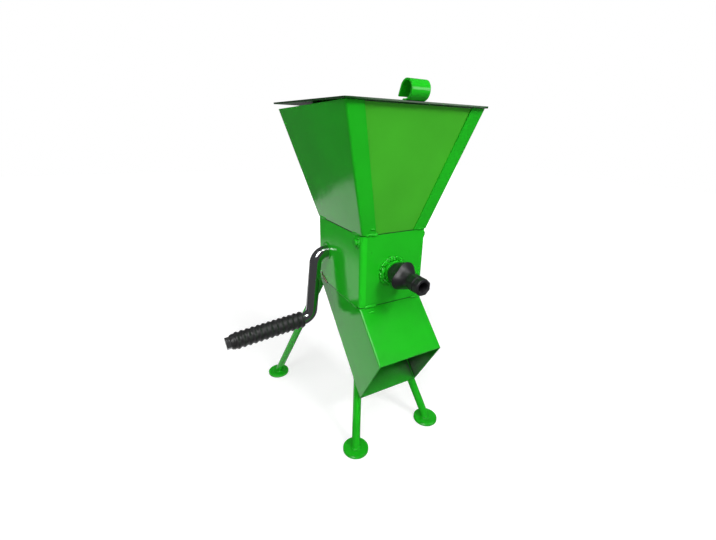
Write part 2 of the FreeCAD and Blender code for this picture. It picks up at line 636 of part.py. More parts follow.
def make_crank_grip():
    owner = new_body("crank_grip", x=f"-{ARM_FOOT}", y="Dims.shaft_back",
                     z="Dims.body_lift + Dims.shaft_up - Dims.crank_radius",
                     axis="0; 1; 0", angle="-Dims.hand_droop")
    near, far = f"-{HAND_BEND}", f"-({HAND_BEND} + Dims.grip_length)"
    sleeve = new_sketch(owner, "XZ_Plane")
    outline(sleeve, [(near, "Dims.rod_radius"), (near, "Dims.grip_radius"),
                     (far, "Dims.grip_radius"), (far, "Dims.rod_radius")])
    turn(owner, sleeve, "H_Axis")
    top = "(Dims.grip_radius + Dims.grip_rib)"
    inside = "((Dims.rod_radius + Dims.grip_radius) / 2)"
    rib = new_sketch(owner, "XZ_Plane")
    outline(rib, [(near, inside), (near, "Dims.grip_radius"),
                  (f"{near} - 0.25 * Dims.grip_rib_width", top),
                  (f"{near} - 0.75 * Dims.grip_rib_width", top),
                  (f"{near} - Dims.grip_rib_width", "Dims.grip_radius"),
                  (f"{near} - Dims.grip_rib_width", inside)])
    ring = turn(owner, rib, "H_Axis")
    row = owner.newObject("PartDesign::LinearPattern", "Row")
    row.Originals = [ring]
    row.Direction = (rib, ["H_Axis"])
    row.Reversed = True
    row.setExpression("Length", "Dims.grip_length - Dims.grip_rib_width")
    row.setExpression("Occurrences", "Dims.grip_ribs")
    owner.Tip = row
    doc.recompute()
    return owner


def make_toothed_roller():
    owner = new_body("toothed_roller", **SHAFT_AT)
    face = new_sketch(owner, "YZ_Plane")
    circle(face, "0", "0", "Dims.roller_radius")
    circle(face, "0", "0", "Dims.rod_radius")
    pad(owner, face, "Dims.roller_length", midplane=True)
    notch = new_sketch(owner, "YZ_Plane")
    half = "(3 * Dims.roller_radius / Dims.tooth_count)"
    outline(notch, [("0", "Dims.roller_radius - Dims.tooth_depth"),
                    (half, "Dims.roller_radius + 1"), (f"-{half}", "Dims.roller_radius + 1")])
    groove = pocket(owner, notch, "2 * Dims.roller_length", midplane=True)
    teeth = owner.newObject("PartDesign::PolarPattern", "Teeth")
    teeth.Originals = [groove]
    teeth.Axis = (notch, ["N_Axis"])
    teeth.Angle = 360
    teeth.setExpression("Occurrences", "Dims.tooth_count")
    owner.Tip = teeth
    doc.recompute()
    across = new_sketch(owner, "XY_Plane")
    circle(across, "0", "0", "Dims.roller_pin_radius")
    pocket(owner, across, "4 * Dims.roller_radius", midplane=True)
    return owner


def make_roller_pin():
    owner = new_body("roller_pin", **SHAFT_AT)
    end = new_sketch(owner, "XY_Plane")
    circle(end, "0", "0", "Dims.roller_pin_radius")
    bar = pad(owner, end, "2 * (Dims.roller_radius - Dims.tooth_depth) - 1", midplane=True)
    bevel_edges(owner, bar, "Dims.roller_pin_radius / 5", lambda edge, at: edge.Closed)
    return owner


def make_shaft_spacers():
    length = f"{BUSH_BACK} - Dims.roller_length / 2 - Dims.seat_gap"
    return [make_ring("left_shaft_spacer", "Dims.spacer_radius", "Dims.rod_radius",
                      f"-({BUSH_BACK} - Dims.seat_gap)", length, **SHAFT_AT),
            make_ring("right_shaft_spacer", "Dims.spacer_radius", "Dims.rod_radius",
                      "Dims.roller_length / 2", length, **SHAFT_AT)]


COLLAR_MIDDLE = f"({BUSH_FACE} + Dims.seat_gap + Dims.collar_length / 2)"


def make_shaft_collar():
    owner = make_ring("shaft_collar", "Dims.collar_radius", "Dims.rod_radius",
                      f"{BUSH_FACE} + Dims.seat_gap", "Dims.collar_length", **SHAFT_AT)
    hole = new_sketch(owner, "XY_Plane")
    circle(hole, COLLAR_MIDDLE, "0", "Dims.collar_screw_radius")
    pocket(owner, hole, "2 * Dims.collar_radius", reverse=True)
    return owner


def make_collar_screw():
    owner = new_body("collar_screw", **SHAFT_AT)
    end = new_sketch(owner, "XY_Plane", "Dims.rod_radius")
    circle(end, COLLAR_MIDDLE, "0", "Dims.collar_screw_radius")
    pad(owner, end, "Dims.collar_radius - Dims.rod_radius - 0.5")
    socket = new_sketch(owner, "XY_Plane", "Dims.collar_radius - 0.5")
    flat = "(Dims.collar_screw_radius / 2)"
    corner = f"({flat} / cos(30))"
    outline(socket, [(f"{COLLAR_MIDDLE} + {corner}", "0"),
                     (f"{COLLAR_MIDDLE} + {corner} / 2", flat),
                     (f"{COLLAR_MIDDLE} - {corner} / 2", flat),
                     (f"{COLLAR_MIDDLE} - {corner}", "0"),
                     (f"{COLLAR_MIDDLE} - {corner} / 2", f"-{flat}"),
                     (f"{COLLAR_MIDDLE} + {corner} / 2", f"-{flat}")])
    pocket(owner, socket, "Dims.collar_screw_radius")
    return owner


# Jaw: a ridged plate hung on the pivot pin, leaning towards the roller
def make_jaw_plate():
    owner = new_body("jaw_plate", axis="1; 0; 0", angle=JAW_LEAN, **PIVOT_AT)
    wide = f"(2 * ({INNER_WIDTH} - Dims.jaw_side_gap))"
    thick = "(Dims.jaw_thick / 2)"
    side = new_sketch(owner, "YZ_Plane")
    outline(side, [(f"-{thick}", "0"), (f"-{thick}", "-Dims.jaw_reach"),
                   (f"{thick} - Dims.jaw_groove", "-Dims.jaw_reach"),
                   (thick, "-Dims.jaw_reach + Dims.jaw_groove"), (thick, "0")])
    pad(owner, side, wide, midplane=True)
    notch = new_sketch(owner, "YZ_Plane")
    low = "(2 * Dims.jaw_pitch - Dims.jaw_reach)"
    outline(notch, [(f"{thick} - Dims.jaw_groove", low),
                    (f"{thick} + 0.5", f"{low} + Dims.jaw_groove + 0.5"),
                    (f"{thick} + 0.5", f"{low} - Dims.jaw_groove - 0.5")])
    groove = pocket(owner, notch, f"2 * {wide}", midplane=True)
    row = owner.newObject("PartDesign::LinearPattern", "Ridges")
    row.Originals = [groove]
    row.Direction = (notch, ["V_Axis"])
    row.setExpression("Length", "(Dims.jaw_ridges - 1) * Dims.jaw_pitch")
    row.setExpression("Occurrences", "Dims.jaw_ridges")
    owner.Tip = row
    doc.recompute()
    seat = new_sketch(owner, "YZ_Plane")
    circle(seat, "0", "0", BARREL_RADIUS)
    pocket(owner, seat, f"2 * {wide}", midplane=True)
    return owner


def make_jaw_barrel():
    start = f"({INNER_WIDTH} - Dims.jaw_side_gap)"
    return make_ring("jaw_barrel", BARREL_RADIUS, "Dims.pivot_radius + Dims.running_gap",
                     f"-{start}", f"2 * {start}", **PIVOT_AT)


# Adjuster: a screw with its knob, and the pad that its end turns in
def make_push_pad():
    owner = new_body("push_pad", **ADJUSTER_AT)
    back = f"({PAD_AT} - Dims.pad_skirt)"
    bore = "(Dims.screw_tip_radius + Dims.running_gap)"
    floor = f"({back} + Dims.screw_tip + Dims.seat_gap)"
    profile = new_sketch(owner, "XY_Plane")
    outline(profile, [(bore, back), ("Dims.pad_radius", back), ("Dims.pad_radius", PAD_AT),
                      ("0", PAD_AT), ("0", floor), (bore, floor)])
    turn(owner, profile, "V_Axis")
    nose = owner.newObject("PartDesign::AdditiveSphere", "Nose")
    nose.setExpression("Radius", "Dims.pad_radius")
    nose.setExpression(
        "Placement", f"placement(vector(0; {PAD_AT}; 0); rotation(vector(1; 0; 0); -90))")
    nose.Angle1 = 0
    doc.recompute()
    return owner


def make_adjuster_screw():
    owner = new_body("adjuster_screw", **ADJUSTER_AT)
    tip = f"({SCREW_SHOULDER} + Dims.screw_tip)"
    end = f"-({KNOB_BASE} + Dims.knob_cone)"
    profile = new_sketch(owner, "XY_Plane")
    outline(profile, [("0", tip), ("Dims.screw_tip_radius", tip),
                      ("Dims.screw_tip_radius", SCREW_SHOULDER),
                      ("Dims.screw_radius - 1", SCREW_SHOULDER),
                      ("Dims.screw_radius", f"{SCREW_SHOULDER} - 1"),
                      ("Dims.screw_radius", end), ("0", end)])
    turn(owner, profile, "V_Axis")
    return owner


def make_adjuster_knob():
    owner = new_body("adjuster_knob", **ADJUSTER_AT)
    cone = f"({KNOB_BASE} + Dims.knob_cone)"
    band = f"({cone} + Dims.knob_band)"
    shoulder = f"({band} + Dims.knob_shoulder)"
    neck = f"({shoulder} + Dims.knob_neck)"
    profile = new_sketch(owner, "XY_Plane")
    outline(profile, [("Dims.screw_radius", f"-{KNOB_BASE}"),
                      ("Dims.knob_base_radius", f"-{KNOB_BASE}"),
                      ("Dims.knob_radius - 1", f"-{cone}"),
                      ("Dims.knob_radius", f"-({cone} + 1)"),
                      ("Dims.knob_radius", f"-({band} - 1)"),
                      ("Dims.knob_radius - 1", f"-{band}"),
                      ("Dims.knob_neck_radius", f"-{shoulder}"),
                      ("Dims.knob_neck_radius", f"-{neck}"), ("0", f"-{neck}"),
                      ("0", f"-{cone}"), ("Dims.screw_radius", f"-{cone}")])
    turn(owner, profile, "V_Axis")
    eight = new_sketch(owner, "XZ_Plane", neck)
    corner = "(Dims.knob_end_radius / cos(22.5))"
    outline(eight, [(f"{corner} * cos({22.5 + 45 * i})", f"{corner} * sin({22.5 + 45 * i})")
                    for i in range(8)])
    pad(owner, eight, "Dims.knob_end")
    ring = new_sketch(owner, "XY_Plane")
    start = f"({neck} + Dims.knob_collar)"
    floor = "(Dims.knob_end_radius - Dims.knob_groove_depth)"
    outline(ring, [(floor, f"-{start}"), (f"{corner} + 1", f"-{start}"),
                   (f"{corner} + 1", f"-({start} + Dims.knob_groove)"),
                   (floor, f"-({start} + Dims.knob_groove)")])
    turn(owner, ring, "V_Axis", "Groove")
    mouth = new_sketch(owner, "XZ_Plane", f"{neck} + Dims.knob_end")
    circle(mouth, "0", "0", "Dims.knob_hollow_radius")
    pocket(owner, mouth, "Dims.knob_hollow")
    return owner


# Lid with its rolled handle, and the hinge at the back
HINGE_AT = {"y": HINGE_BACK, "z": HINGE_UP}
LID_TURN = {"axis": "1; 0; 0", "angle": LID_TILT}


def make_lid_plate():
    owner = new_body("lid_plate", **HINGE_AT, **LID_TURN)
    plan = new_sketch(owner, "XY_Plane", "Dims.knuckle_radius")
    half = "(Dims.lid_width / 2)"
    outline(plan, [(f"-{half}", f"-{LID_REACH}"), (half, f"-{LID_REACH}"),
                   (half, "Dims.lid_tail"), (f"-{half}", "Dims.lid_tail")])
    plate = pad(owner, plan, "Dims.lid_thick")
    round_edges(owner, plate, "2 * Dims.lid_thick", lambda edge, at: is_long(edge, 2))
    return owner


def make_lid_handle():
    ahead = f"(Dims.handle_back - {LID_REACH})"
    above = "(Dims.knuckle_radius + Dims.lid_thick + Dims.handle_radius)"
    owner = new_body("lid_handle", x="-Dims.handle_side",
                     y=f"{HINGE_BACK} + {ahead} * cos({LID_TILT}) - {above} * sin({LID_TILT})",
                     z=f"{HINGE_UP} + {ahead} * sin({LID_TILT}) + {above} * cos({LID_TILT})",
                     **LID_TURN)
    half = "(Dims.handle_width / 2)"
    inner = "(Dims.handle_radius - Dims.handle_thick)"
    strip = new_sketch(owner, "XZ_Plane")
    outline(strip, [(f"-{half}", "-Dims.handle_radius"), (half, "-Dims.handle_radius"),
                    (half, f"-{inner}"), (f"-{half}", f"-{inner}")])
    roll = owner.newObject("PartDesign::Revolution", "Roll")
    roll.Profile = strip
    roll.ReferenceAxis = (strip, ["H_Axis"])
    roll.Reversed = True
    roll.setExpression("Angle", "270 - Dims.handle_tail_turn")
    doc.recompute()
    leave = "Dims.handle_tail_turn"
    tail_y, tail_z = f"Dims.handle_tail * sin({leave})", f"Dims.handle_tail * cos({leave})"
    ends = new_sketch(owner, "YZ_Plane")
    outline(ends, [(f"Dims.handle_radius * cos({leave})", f"Dims.handle_radius * sin({leave})"),
                   (f"{inner} * cos({leave})", f"{inner} * sin({leave})"),
                   (f"{inner} * cos({leave}) + {tail_y}", f"{inner} * sin({leave}) - {tail_z}"),
                   (f"Dims.handle_radius * cos({leave}) + {tail_y}",
                    f"Dims.handle_radius * sin({leave}) - {tail_z}")])
    outline(ends, [("0", "-Dims.handle_radius"), ("Dims.handle_seat", "-Dims.handle_radius"),
                   ("Dims.handle_seat", f"-{inner}"), ("0", f"-{inner}")])
    pad(owner, ends, "Dims.handle_width", midplane=True)
    return owner


def make_lid_hinge_knuckle():
    owner = new_body("lid_hinge_knuckle", **HINGE_AT, **LID_TURN)
    saddle = new_sketch(owner, "YZ_Plane")
    half = "(0.7 * Dims.knuckle_radius)"
    outline(saddle, [(f"-{half}", "0"), (half, "0"), (half, "Dims.knuckle_radius"),
                     (f"-{half}", "Dims.knuckle_radius")])
    pad(owner, saddle, "Dims.knuckle_length", midplane=True)
    tube = new_sketch(owner, "YZ_Plane")
    circle(tube, "0", "0", "Dims.knuckle_radius")
    pad(owner, tube, "Dims.knuckle_length", midplane=True)
    bore = new_sketch(owner, "YZ_Plane")
    circle(bore, "0", "0", "Dims.hinge_pin_radius + Dims.running_gap")
    pocket(owner, bore, "2 * Dims.knuckle_length", midplane=True)
    return owner


LEAF_START = "(Dims.knuckle_length / 2 + Dims.seat_gap)"


def make_hinge_leaf(label, start):
    owner = new_body(label, axis="1; 0; 0", angle=f"-atan({PANEL_LEAN})", **HINGE_AT)
    strap = new_sketch(owner, "YZ_Plane", start)
    outline(strap, [(f"-{LEAF_RADIUS}", "0"), (f"-{LEAF_RADIUS}", "-Dims.leaf_drop"),
                    (f"Dims.leaf_thick - {LEAF_RADIUS}", "-Dims.leaf_drop"),
                    (f"Dims.leaf_thick - {LEAF_RADIUS}", "0")])
    pad(owner, strap, "Dims.leaf_width")
    roll = new_sketch(owner, "YZ_Plane", start)
    circle(roll, "0", "0", LEAF_RADIUS)
    pad(owner, roll, "Dims.leaf_width")
    bore = new_sketch(owner, "YZ_Plane")
    circle(bore, "0", "0", "Dims.hinge_pin_radius")
    pocket(owner, bore, "8 * Dims.leaf_width", midplane=True)
    return owner


def make_hinge_leaves():
    return [make_hinge_leaf("left_hinge_leaf", f"-({LEAF_START} + Dims.leaf_width)"),
            make_hinge_leaf("right_hinge_leaf", LEAF_START)]


def make_lid_hinge_pin():
    owner = new_body("lid_hinge_pin", **HINGE_AT)
    end = new_sketch(owner, "YZ_Plane")
    circle(end, "0", "0", "Dims.hinge_pin_radius")
    bar = pad(owner, end, f"2 * ({LEAF_START} + Dims.leaf_width + 0.8)", midplane=True)
    bevel_edges(owner, bar, "Dims.hinge_pin_radius / 5", lambda edge, at: edge.Closed)
    return owner


pieces = [
    make_body_shell(), make_chute_shell(),
    make_side_panel("hopper_left_panel", "-1"), make_side_panel("hopper_right_panel", "1"),
    make_end_panel("hopper_front_panel", "-1"), make_end_panel("hopper_back_panel", "1"),
    *make_bushes(), make_pivot_pin(), make_adjuster_nut(), make_adjuster_weld(),
    *make_legs(), *make_feet(), *make_hinge_leaves(), make_lid_hinge_pin(),
    make_crank_rod(), make_crank_grip(), make_toothed_roller(), make_roller_pin(),
    *make_shaft_spacers(), make_shaft_collar(), make_collar_screw(),
    make_jaw_plate(), make_jaw_barrel(), make_push_pad(),
    make_adjuster_screw(), make_adjuster_knob(),
    make_lid_plate(), make_lid_handle(), make_lid_hinge_knuckle(),
]
doc.recompute()

for item in doc.Objects:
    if "Invalid" in item.State or "Error" in item.State:
        raise RuntimeError(f"{item.Label} has not been rebuilt")
for piece in pieces:
    shape = piece.Shape
    if shape.isNull() or not shape.isValid() or len(shape.Solids) != 1:
        raise RuntimeError(f"{piece.Label} is not one closed solid")
    shape.exportStep(f"parts/{piece.Label}.step")
    print(piece.Label, round(shape.Volume / 1000, 2), "cm3")
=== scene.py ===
"""Looks of the hand-cranked nut cracker: glossy green paint, plated crank, black grip and knob.

Lengths are in metres in the part's own frame, and in millimetres where a piece is modelled.
+Z is up, +Y is to the back and the floor is at z = 0.
"""
import bmesh
import bpy
import json
import math
from mathutils import Matrix, Vector, noise


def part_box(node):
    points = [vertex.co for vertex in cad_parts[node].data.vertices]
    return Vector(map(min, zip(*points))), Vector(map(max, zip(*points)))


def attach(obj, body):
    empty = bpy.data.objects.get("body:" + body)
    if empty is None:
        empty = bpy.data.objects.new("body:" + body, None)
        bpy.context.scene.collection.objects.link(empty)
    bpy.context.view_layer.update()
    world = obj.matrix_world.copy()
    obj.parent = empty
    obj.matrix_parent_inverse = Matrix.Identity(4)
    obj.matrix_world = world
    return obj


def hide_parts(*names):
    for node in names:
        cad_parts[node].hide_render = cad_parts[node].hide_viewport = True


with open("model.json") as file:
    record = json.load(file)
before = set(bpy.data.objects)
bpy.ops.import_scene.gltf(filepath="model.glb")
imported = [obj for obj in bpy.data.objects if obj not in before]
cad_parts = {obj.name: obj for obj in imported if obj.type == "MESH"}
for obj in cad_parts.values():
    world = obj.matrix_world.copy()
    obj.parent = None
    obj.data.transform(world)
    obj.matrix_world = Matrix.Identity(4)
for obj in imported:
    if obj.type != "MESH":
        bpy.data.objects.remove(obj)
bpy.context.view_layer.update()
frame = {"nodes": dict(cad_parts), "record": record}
nodes = frame["nodes"]
MM = 0.001
SAME_SPOT = 0.005  # in millimetres; vertices as near as this become one
WHITE = (1, 1, 1, 1)

# Places shared by several pieces, in millimetres in the part's frame
BODY_LOW, BODY_HIGH = 214.0, 314.0
BODY_SIDE, BODY_FACE = 50.0, 65.0
LOW_SEAM, HIGH_SEAM = BODY_LOW - 0.2, BODY_HIGH + 0.2
SHAFT = Vector((0, 36.5, 265.5))
JAW_PIN = Vector((0, -55, 304))
ADJUSTER = Vector((0, 0, 260.7))
HAND_CORNER = Vector((-79.204, 36.5, 162.0))
CHUTE_SLOPE = math.radians(44)
FOOT_THICK = 4.0
FRONT_FOOT, BACK_FOOT = (64.5, -88.5), (109.0, 138.5)
BACK_LEG_SIDE = 43.5  # at the body's lower edge
LEFT_RIGHT = (-1, 1)


# Nodes
class Tree:
    """Short way to add nodes to a world, a material or a node group."""

    def __init__(self, tree):
        self.tree = tree

    def add(self, kind, inputs=(), **settings):
        """Node with its settings; inputs maps a socket to a value or to another node's output."""
        node = self.tree.nodes.new(kind)
        for key, setting in settings.items():
            setattr(node, key, setting)
        for key, source in dict(inputs).items():
            self.feed(node, key, source)
        return node

    def feed(self, node, key, source):
        if isinstance(source, bpy.types.NodeSocket):
            self.tree.links.new(source, node.inputs[key])
        else:
            node.inputs[key].default_value = source

    def place(self):
        """Position on the object itself, in metres."""
        return self.add("ShaderNodeTexCoord").outputs["Object"]

    def clouds(self, scale, detail=2.0):
        """Soft noise over the object."""
        return self.add("ShaderNodeTexNoise", {"Vector": self.place(), "Scale": scale,
                                               "Detail": detail}).outputs["Fac"]

    def reckon(self, operation, *values):
        """Result of one operation on numbers or sockets."""
        return self.add("ShaderNodeMath", enumerate(values), operation=operation).outputs[0]

    def spread(self, source, low, high, first=0.0, last=1.0):
        """Value that goes from first to last while the source goes from low to high."""
        return self.add("ShaderNodeMapRange", {"Value": source, "From Min": low, "From Max": high,
                                               "To Min": first, "To Max": last}).outputs[0]

    def blend(self, share, first, second, kind="MIX"):
        """Mix of two colours."""
        return self.add("ShaderNodeMix", {0: share, 6: first, 7: second}, data_type="RGBA",
                        blend_type=kind).outputs[2]

    def bump(self, height, strength, distance, normal=None):
        """Normal of a fine relief, on top of another normal if there is one."""
        inputs = {"Height": height, "Strength": strength, "Distance": distance}
        if normal is not None:
            inputs["Normal"] = normal
        return self.add("ShaderNodeBump", inputs).outputs["Normal"]


def build_uneven_coat():
    """Node group that every finish uses: patches of tone, patches of gloss and a fine grain."""
    group = bpy.data.node_groups.new("uneven_coat", "ShaderNodeTree")
    for name, kind in (("Tone Scale", "Float"), ("Tone Detail", "Float"), ("Tone Low", "Float"),
                       ("Tone High", "Float"), ("Dark", "Color"), ("Light", "Color"),
                       ("Gloss Scale", "Float"), ("Gloss Detail", "Float"), ("Smooth", "Float"),
                       ("Dull", "Float"), ("Grain Scale", "Float")):
        group.interface.new_socket(name, in_out="INPUT", socket_type="NodeSocket" + kind)
    for name, kind in (("Colour", "Color"), ("Roughness", "Float"), ("Grain", "Float")):
        group.interface.new_socket(name, in_out="OUTPUT", socket_type="NodeSocket" + kind)
    t = Tree(group)
    given = t.add("NodeGroupInput").outputs
    tone = t.spread(t.clouds(given["Tone Scale"], given["Tone Detail"]), given["Tone Low"],
                    given["Tone High"])
    gloss = t.clouds(given["Gloss Scale"], given["Gloss Detail"])
    t.add("NodeGroupOutput", {"Colour": t.blend(tone, given["Dark"], given["Light"]),
                              "Roughness": t.spread(gloss, 0.3, 0.7, given["Smooth"],
                                                    given["Dull"]),
                              "Grain": t.clouds(given["Grain Scale"])})
    return group


UNEVEN_COAT = build_uneven_coat()


class Finish(Tree):
    """Material with the values that it gives to the uneven coat.

    tone is (scale, detail, low, high) and gloss is (scale, detail, smooth, dull).
    """

    def __init__(self, name, grain, tone=None, dark=None, light=None, gloss=None):
        self.material = bpy.data.materials.new(name)
        self.material.use_nodes = True
        super().__init__(self.material.node_tree)
        given = {"Grain Scale": grain}
        if tone:
            given.update(zip(("Tone Scale", "Tone Detail", "Tone Low", "Tone High"), tone))
            given.update({"Dark": (*dark, 1), "Light": (*light, 1)})
        if gloss:
            given.update(zip(("Gloss Scale", "Gloss Detail", "Smooth", "Dull"), gloss))
        coat = self.add("ShaderNodeGroup", node_tree=UNEVEN_COAT)
        for key, value in given.items():
            coat.inputs[key].default_value = value
        self.colour, self.roughness, self.grain = coat.outputs

    def soft_edges(self, radius):
        """Normal that rounds sharp edges a little."""
        return self.add("ShaderNodeBevel", {"Radius": radius}, samples=6).outputs["Normal"]

    def done(self, **sockets):
        """Feed the material's shader, and hand the material over."""
        shader = self.tree.nodes["Principled BSDF"]
        for key, source in sockets.items():
            self.feed(shader, key.replace("_", " "), source)
        return self.material


# Camera, light and floor
def add_camera():
    """Camera at the photograph's viewing angle."""
    focal_px, width_px = 352.8, 716
    yaw, pitch, roll = (math.radians(v) for v in (29.6, 21.0, 1.2))
    ahead = Vector((math.sin(yaw) * math.cos(pitch), math.cos(yaw) * math.cos(pitch),
                    -math.sin(pitch)))
    right = Vector((math.cos(yaw), -math.sin(yaw), 0))
    up = right.cross(ahead)
    right, up = (math.cos(roll) * right + math.sin(roll) * up,
                 math.cos(roll) * up - math.sin(roll) * right)
    data = bpy.data.cameras.new("camera")
    data.sensor_fit = "HORIZONTAL"
    data.sensor_width = 36
    data.lens = focal_px * data.sensor_width / width_px
    data.clip_start = 0.01
    camera = bpy.data.objects.new("camera", data)
    turn = Matrix((right, up, -ahead)).transposed().to_4x4()
    camera.matrix_world = Matrix.Translation((-0.2586, -0.4259, 0.4299)) @ turn
    bpy.context.scene.collection.objects.link(camera)
    bpy.context.scene.camera = camera


def add_area(name, place, target, size, power, glossy=False, diffuse=True):
    """Soft square light aimed at a point."""
    data = bpy.data.lights.new(name, "AREA")
    data.shape = "SQUARE"
    data.size = size
    data.energy = power
    lamp = bpy.data.objects.new(name, data)
    lamp.location = place
    lamp.rotation_euler = (Vector(target) - Vector(place)).to_track_quat("-Z", "Y").to_euler()
    lamp.visible_camera = False
    lamp.visible_glossy = glossy
    lamp.visible_diffuse = diffuse
    bpy.context.scene.collection.objects.link(lamp)
    return lamp


def add_world(diffuse_level, gloss_level):
    """White behind the object, even light on it, and a dim room in its reflections."""
    world = bpy.data.worlds.new("studio")
    world.use_nodes = True
    world.node_tree.nodes.clear()
    t = Tree(world.node_tree)
    ray = t.add("ShaderNodeLightPath")
    light = t.add("ShaderNodeBackground", {"Color": WHITE, "Strength": diffuse_level})
    for level, kind in ((gloss_level, "Is Glossy Ray"), (1.0, "Is Camera Ray")):
        seen = t.add("ShaderNodeBackground", {"Color": WHITE, "Strength": level})
        light = t.add("ShaderNodeMixShader", {0: ray.outputs[kind], 1: light.outputs[0],
                                              2: seen.outputs[0]})
    t.add("ShaderNodeOutputWorld", {0: light.outputs[0]})
    bpy.context.scene.world = world


def add_sheet(name, low, high, z, material):
    """Flat rectangle of the studio between two corners."""
    work = bmesh.new()
    middle = Matrix.Translation(((low[0] + high[0]) / 2, (low[1] + high[1]) / 2, z))
    size = Matrix.Diagonal((high[0] - low[0], high[1] - low[1], 1, 1))
    bmesh.ops.create_grid(work, x_segments=1, y_segments=1, size=0.5, matrix=middle @ size)
    mesh = bpy.data.meshes.new(name)
    work.to_mesh(mesh)
    work.free()
    mesh.materials.append(material)
    sheet = bpy.data.objects.new(name, mesh)
    bpy.context.scene.collection.objects.link(sheet)
    return sheet


def floor_material():
    """Dull paper that the camera sees as white, but for the shadows near the object."""
    material = bpy.data.materials.new("floor_paper")
    material.use_nodes = True
    t = Tree(material.node_tree)
    distance = t.add("ShaderNodeVectorMath", {0: t.place()}, operation="LENGTH")
    level = t.spread(distance.outputs["Value"], 0.35, 1.1, 0.62, 1.0)
    ray = t.add("ShaderNodeLightPath")
    shader = t.tree.nodes["Principled BSDF"]
    for key, source in (("Base Color", (0.5, 0.5, 0.5, 1)), ("Roughness", 0.9),
                        ("Specular IOR Level", 0.0), ("Emission Color", WHITE),
                        ("Emission Strength",
                         t.reckon("MULTIPLY", level, ray.outputs["Is Camera Ray"]))):
        t.feed(shader, key, source)
    return material


def glow_material():
    """Even white light."""
    material = bpy.data.materials.new("table_glow")
    material.use_nodes = True
    material.node_tree.nodes.clear()
    t = Tree(material.node_tree)
    light = t.add("ShaderNodeEmission", {"Strength": 0.85})
    t.add("ShaderNodeOutputMaterial", {0: light.outputs[0]})
    return material


def add_studio():
    """Even light from above, highlights from a window on the left, and white paper below."""
    bpy.context.scene.view_settings.view_transform = "Standard"
    add_world(0.44, 0.10)
    key = add_area("key", (0.4, -1.45, 1.55), (0, 0, 0.43), 0.6, 1.7)
    key.data.spread = math.radians(38)
    add_area("top", (-0.1, -0.2, 1.9), (0, 0, 0.2), 1.2, 2)
    add_area("window", (-0.9, -0.9, 1.7), (0, 0, 0.3), 0.7, 14, glossy=True)
    for name, place, height, size, power in (
            ("side_gloss", (1.0, -1.35, 0.75), 0.45, 0.6, 3.5),
            ("low_window_gloss", (-1.1, -1.05, 1.27), 0.3, 0.6, 9),
            ("top_gloss", (0.05, -0.4, 1.9), 0.2, 0.4, 5)):
        add_area(name, place, (0, 0, height), size, power, glossy=True, diffuse=False)
    floor = add_sheet("floor", (-4, -4), (4, 4), 0, floor_material())
    floor.visible_glossy = False
    glow = add_sheet("table_in_reflections", (-0.445, -0.02), (-0.06, 0.93), 0.0005,
                     glow_material())
    for kind in ("camera", "diffuse", "shadow", "transmission", "volume_scatter"):
        setattr(glow, f"visible_{kind}", False)


# Finishes
def paint_finish(name, colour=(0.011, 0.46, 0.011), recess_shade=1.0, seams=(), lit_edge_x=None, shade_rims=False):
    """Glossy sprayed paint: orange peel, faint mottling and softened edges.

    Painted shade darkens deep recesses, found by ambient occlusion, when the recess level is below
    1;
    painted shade makes thin dark bands at the given seam heights and on faces that stand nearly
    vertical; and a painted highlight lightens the colour at x below the given edge value.
    """
    t = Finish(name, 520, (14, 3, 0.35, 0.65), [c * 0.90 for c in colour], colour,
               (60, 3, 0.10, 0.16))
    coat = t.colour
    # Painted shade: the colour is multiplied darker where ambient occlusion finds nearby surfaces,
    # as deep in the chute.
    if recess_shade < 1:
        depth = t.add("ShaderNodeAmbientOcclusion", {"Distance": 0.12}, samples=8)
        share = t.spread(depth.outputs["AO"], 0.4, 0.85, recess_shade, 1.0)
        recess_shade_grey = t.add("ShaderNodeCombineColor", {0: share, 1: share, 2: share})
        coat = t.blend(1.0, coat, recess_shade_grey.outputs[0], "MULTIPLY")
    if lit_edge_x or seams:
        spot = t.add("ShaderNodeSeparateXYZ", {"Vector": t.place()})
    if lit_edge_x:
        # Painted highlight: the colour is made lighter at x below the given value, for the light on
        # the body's rounded front-left corner.
        lit_edge_strip = t.reckon("LESS_THAN", spot.outputs["X"], lit_edge_x)
        coat = t.blend(lit_edge_strip, coat, (*(c * 1.18 for c in colour), 1))
    # Painted shade: a thin dark band at each seam height, for the shadow in the gap between the
    # sheets.
    for height in seams:
        seam_shade_band = t.reckon("COMPARE", spot.outputs["Z"], height, 0.0009)
        coat = t.blend(seam_shade_band, coat, (0.002, 0.05, 0.002, 1))
    if shade_rims:
        # Painted shade: faces that stand nearly vertical, such as the lid's thin edge, get a dark
        # colour for the shadow along that edge.
        facing = t.add("ShaderNodeSeparateXYZ",
                       {"Vector": t.add("ShaderNodeTexCoord").outputs["Normal"]})
        rim_shade = t.reckon("LESS_THAN", t.reckon("ABSOLUTE", facing.outputs["Z"]), 0.5)
        coat = t.blend(rim_shade, coat, (0.004, 0.05, 0.005, 1))
    peel = t.bump(t.grain, 0.10, 0.0004, t.soft_edges(0.0008))
    waves = t.bump(t.clouds(38), 0.16, 0.0015, peel)
    return t.done(Base_Color=coat, Roughness=t.roughness, IOR=1.5, Normal=waves)


def chrome_finish():
    """Plated bar with faint drawing lines."""
    t = Finish("plated_bar", 260, gloss=(180, 3, 0.07, 0.15))
    return t.done(Base_Color=(0.45, 0.46, 0.47, 1), Metallic=1.0, Roughness=t.roughness,
                  Normal=t.bump(t.grain, 0.08, 0.0003))


def rubber_finish():
    """Black rubber with a faint mottle and a fine grain."""
    t = Finish("grip_rubber", 1400, (220, 4, 0.3, 0.7), (0.012, 0.012, 0.012),
               (0.024, 0.024, 0.025))
    return t.done(Base_Color=t.colour, Roughness=0.33, Normal=t.bump(t.grain, 0.25, 0.0002))


